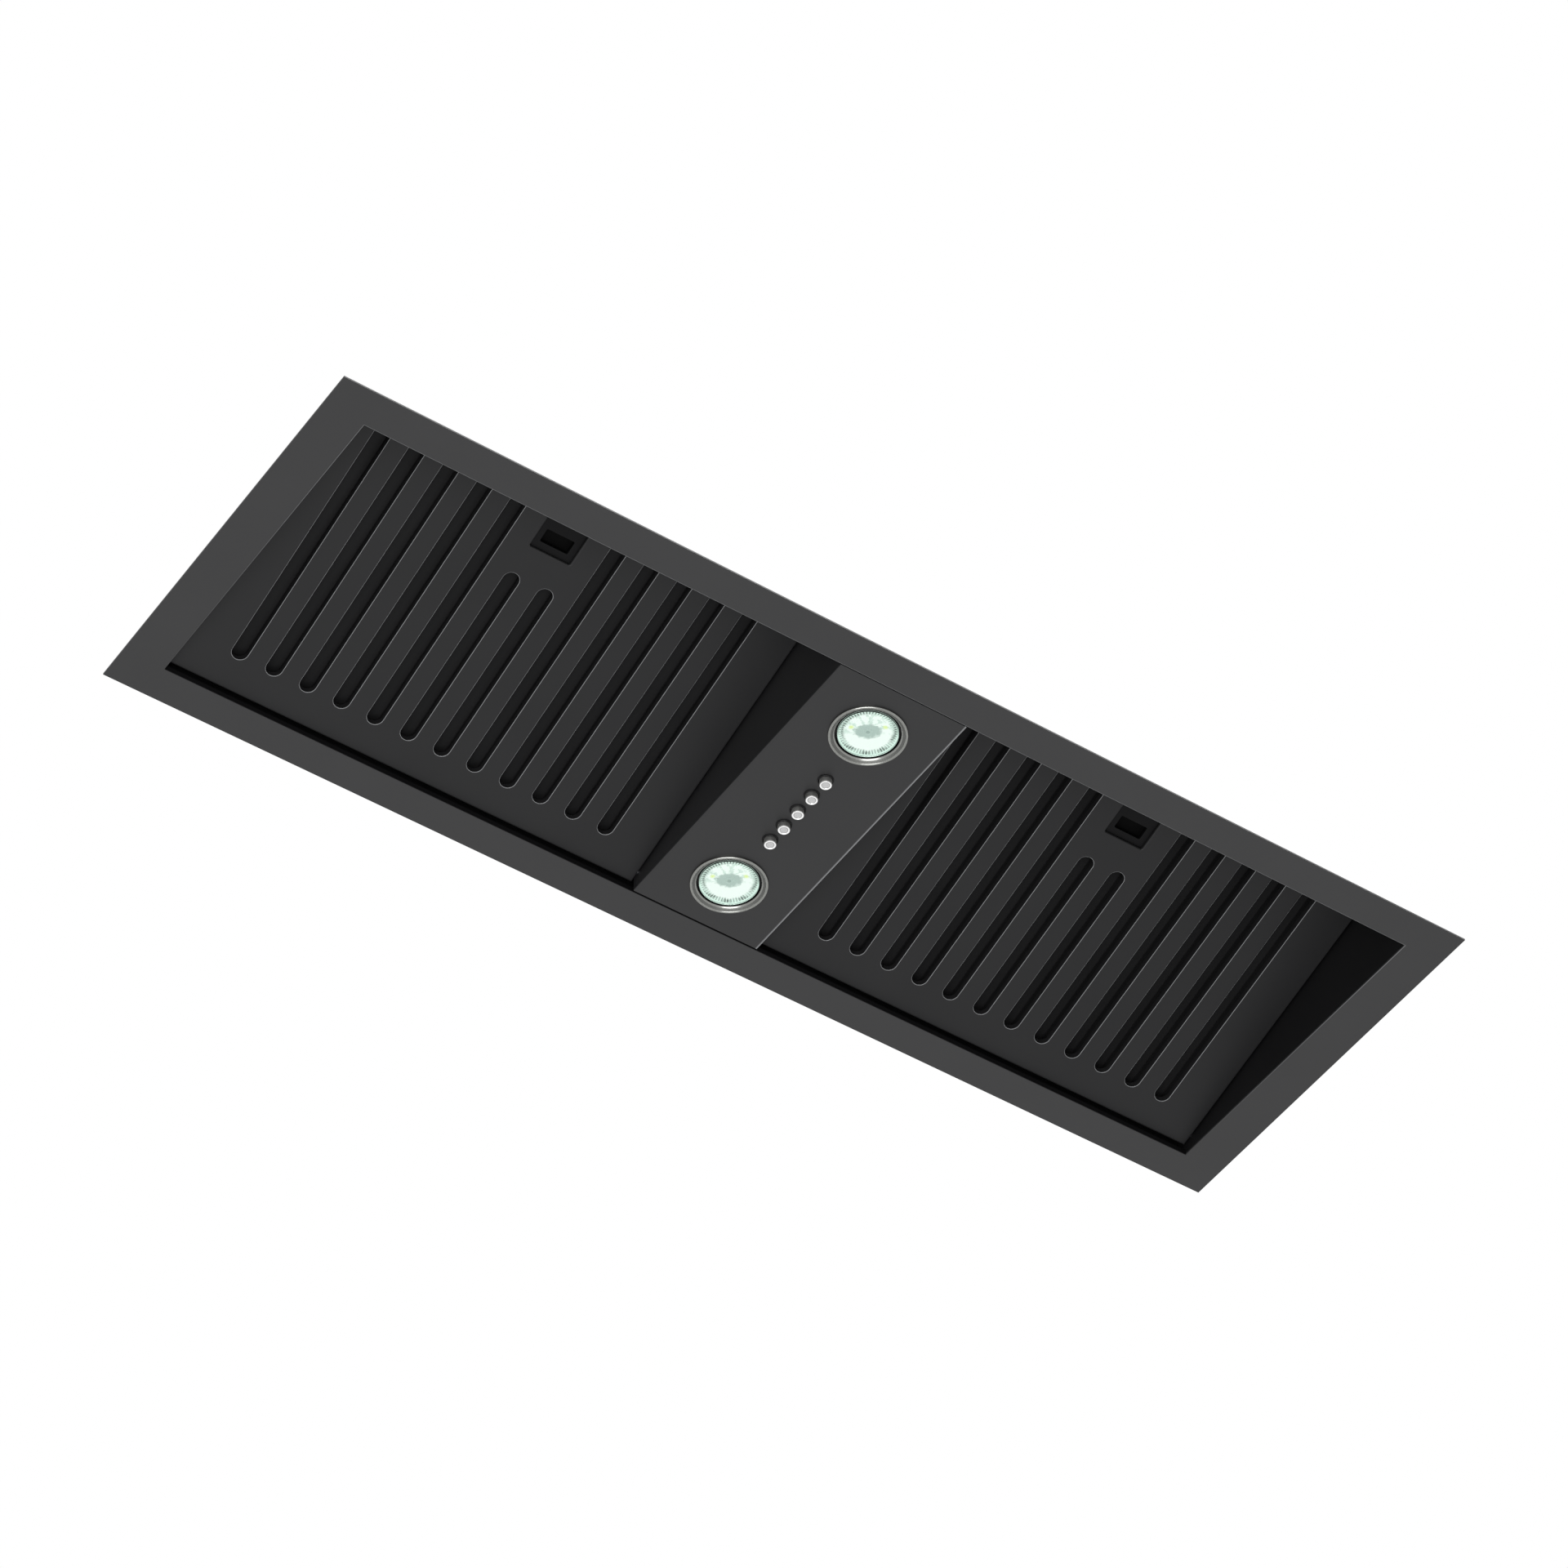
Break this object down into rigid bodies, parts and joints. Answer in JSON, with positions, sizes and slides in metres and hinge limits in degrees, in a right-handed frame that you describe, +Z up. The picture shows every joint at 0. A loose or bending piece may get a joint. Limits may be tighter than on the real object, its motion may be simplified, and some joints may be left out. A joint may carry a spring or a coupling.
{
  "type": "undermount range hood",
  "caption": "Flanged black undermount range hood with sloped slotted baffle filters, a flush strip of round lamps and push-buttons, an inner blower and a round duct collar.",
  "frame": {"origin": "centre of the flange in plan, on its upper face, which seats against the cupboard's underside", "axes": "+X to the user's right, along the flange's long side; +Y towards the wall; +Z up, out through the duct collar"},
  "size_m": [0.86, 0.294, 0.3185],
  "materials": {
    "black_coated_steel": "satin black coating",
    "galvanised_steel": "galvanised",
    "spring_steel": "bright",
    "zinc_screws": "zinc plated",
    "polished_chrome": "polished",
    "black_plastic": "moulded",
    "lamp_glass": "frosted",
    "led_board": "solder-masked board",
    "cast_aluminium": "cast",
    "black_rubber": "moulded"
  },
  "bodies": {
    "case": {"flange_frame": "black_coated_steel", "neck_frame": "black_coated_steel", "front_panel": "black_coated_steel", "rear_panel": "black_coated_steel", "left_end_plate": "black_coated_steel", "right_end_plate": "black_coated_steel", "top_panel": "black_coated_steel", "front_rail_left": "black_coated_steel", "front_rail_right": "black_coated_steel", "control_panel": "black_coated_steel", "housing_cover": "galvanised_steel", "hinge_studs": "spring_steel", "lamp_ring_front": "polished_chrome", "lamp_ring_rear": "polished_chrome", "lamp_glass_front": "lamp_glass", "lamp_glass_rear": "lamp_glass", "lamp_boards": "led_board", "lamp_body_front": "cast_aluminium", "lamp_body_rear": "cast_aluminium", "lamp_clips": "spring_steel", "switch_body": "black_plastic", "switch_cover": "black_plastic", "button_collars": "black_plastic", "button_springs": "spring_steel", "blower_scroll": "galvanised_steel", "blower_side_left": "galvanised_steel", "blower_side_right": "galvanised_steel", "motor_body": "galvanised_steel", "motor_bracket": "black_coated_steel", "motor_bushes": "black_rubber", "duct_collar": "black_coated_steel", "collar_gasket": "black_rubber", "damper_pins": "spring_steel", "junction_box": "galvanised_steel", "junction_cover": "galvanised_steel", "cable_gland": "black_plastic", "capacitor": "cast_aluminium", "led_driver": "black_plastic", "wiring": "black_rubber", "case_screws": "zinc_screws"},
    "filter_left": {"filter_face_left": "black_coated_steel", "filter_baffles_left": "black_coated_steel", "latch_guide_left": "black_plastic", "latch_spring_left": "spring_steel"},
    "filter_right": {"filter_face_right": "black_coated_steel", "filter_baffles_right": "black_coated_steel", "latch_guide_right": "black_plastic", "latch_spring_right": "spring_steel"},
    "latch_left": {"latch_slider_left": "black_coated_steel"},
    "latch_right": {"latch_slider_right": "black_coated_steel"},
    "off_button": {"button_off": "polished_chrome"},
    "low_button": {"button_low": "polished_chrome"},
    "medium_button": {"button_medium": "polished_chrome"},
    "high_button": {"button_high": "polished_chrome"},
    "light_button": {"button_light": "polished_chrome"},
    "rotor": {"impeller": "galvanised_steel", "impeller_rings": "galvanised_steel", "motor_shaft": "spring_steel"},
    "flap_left": {"damper_flap_left": "galvanised_steel"},
    "flap_right": {"damper_flap_right": "galvanised_steel"}
  },
  "joints": [
    {"name": "filter_left_hinge", "type": "hinge", "parent": "case", "child": "filter_left", "pos_m": [-0.22425, 0.11639, 0.01342], "axis": [1, 0, 0], "range_deg": [0, 75]},
    {"name": "latch_left_slide", "type": "slide", "parent": "filter_left", "child": "latch_left", "axis": [0, 0.9613, -0.2756], "range_m": [0, 0.006], "stiffness_N_per_m": 400, "springref_m": -0.004, "deforming": ["latch_spring_left"]},
    {"name": "filter_right_hinge", "type": "hinge", "parent": "case", "child": "filter_right", "pos_m": [0.22425, 0.11639, 0.01342], "axis": [1, 0, 0], "range_deg": [0, 75]},
    {"name": "latch_right_slide", "type": "slide", "parent": "filter_right", "child": "latch_right", "axis": [0, 0.9613, -0.2756], "range_m": [0, 0.006], "stiffness_N_per_m": 400, "springref_m": -0.004, "deforming": ["latch_spring_right"]},
    {"name": "off_button_press", "type": "slide", "parent": "case", "child": "off_button", "axis": [0, 0, 1], "range_m": [0, 0.003], "stiffness_N_per_m": 500, "springref_m": -0.002, "deforming": ["button_springs"]},
    {"name": "low_button_press", "type": "slide", "parent": "case", "child": "low_button", "axis": [0, 0, 1], "range_m": [0, 0.003], "stiffness_N_per_m": 500, "springref_m": -0.002, "deforming": ["button_springs"]},
    {"name": "medium_button_press", "type": "slide", "parent": "case", "child": "medium_button", "axis": [0, 0, 1], "range_m": [0, 0.003], "stiffness_N_per_m": 500, "springref_m": -0.002, "deforming": ["button_springs"]},
    {"name": "high_button_press", "type": "slide", "parent": "case", "child": "high_button", "axis": [0, 0, 1], "range_m": [0, 0.003], "stiffness_N_per_m": 500, "springref_m": -0.002, "deforming": ["button_springs"]},
    {"name": "light_button_press", "type": "slide", "parent": "case", "child": "light_button", "axis": [0, 0, 1], "range_m": [0, 0.003], "stiffness_N_per_m": 500, "springref_m": -0.002, "deforming": ["button_springs"]},
    {"name": "rotor_spin", "type": "hinge", "parent": "case", "child": "rotor", "pos_m": [0, -0.02, 0.177], "axis": [1, 0, 0], "continuous": true},
    {"name": "flap_left_hinge", "type": "hinge", "parent": "case", "child": "flap_left", "pos_m": [-0.004, 0.04, 0.2784], "axis": [0, 1, 0], "range_deg": [0, 75]},
    {"name": "flap_right_hinge", "type": "hinge", "parent": "case", "child": "flap_right", "pos_m": [0.004, 0.04, 0.2784], "axis": [0, -1, 0], "range_deg": [0, 75]}
  ]
}
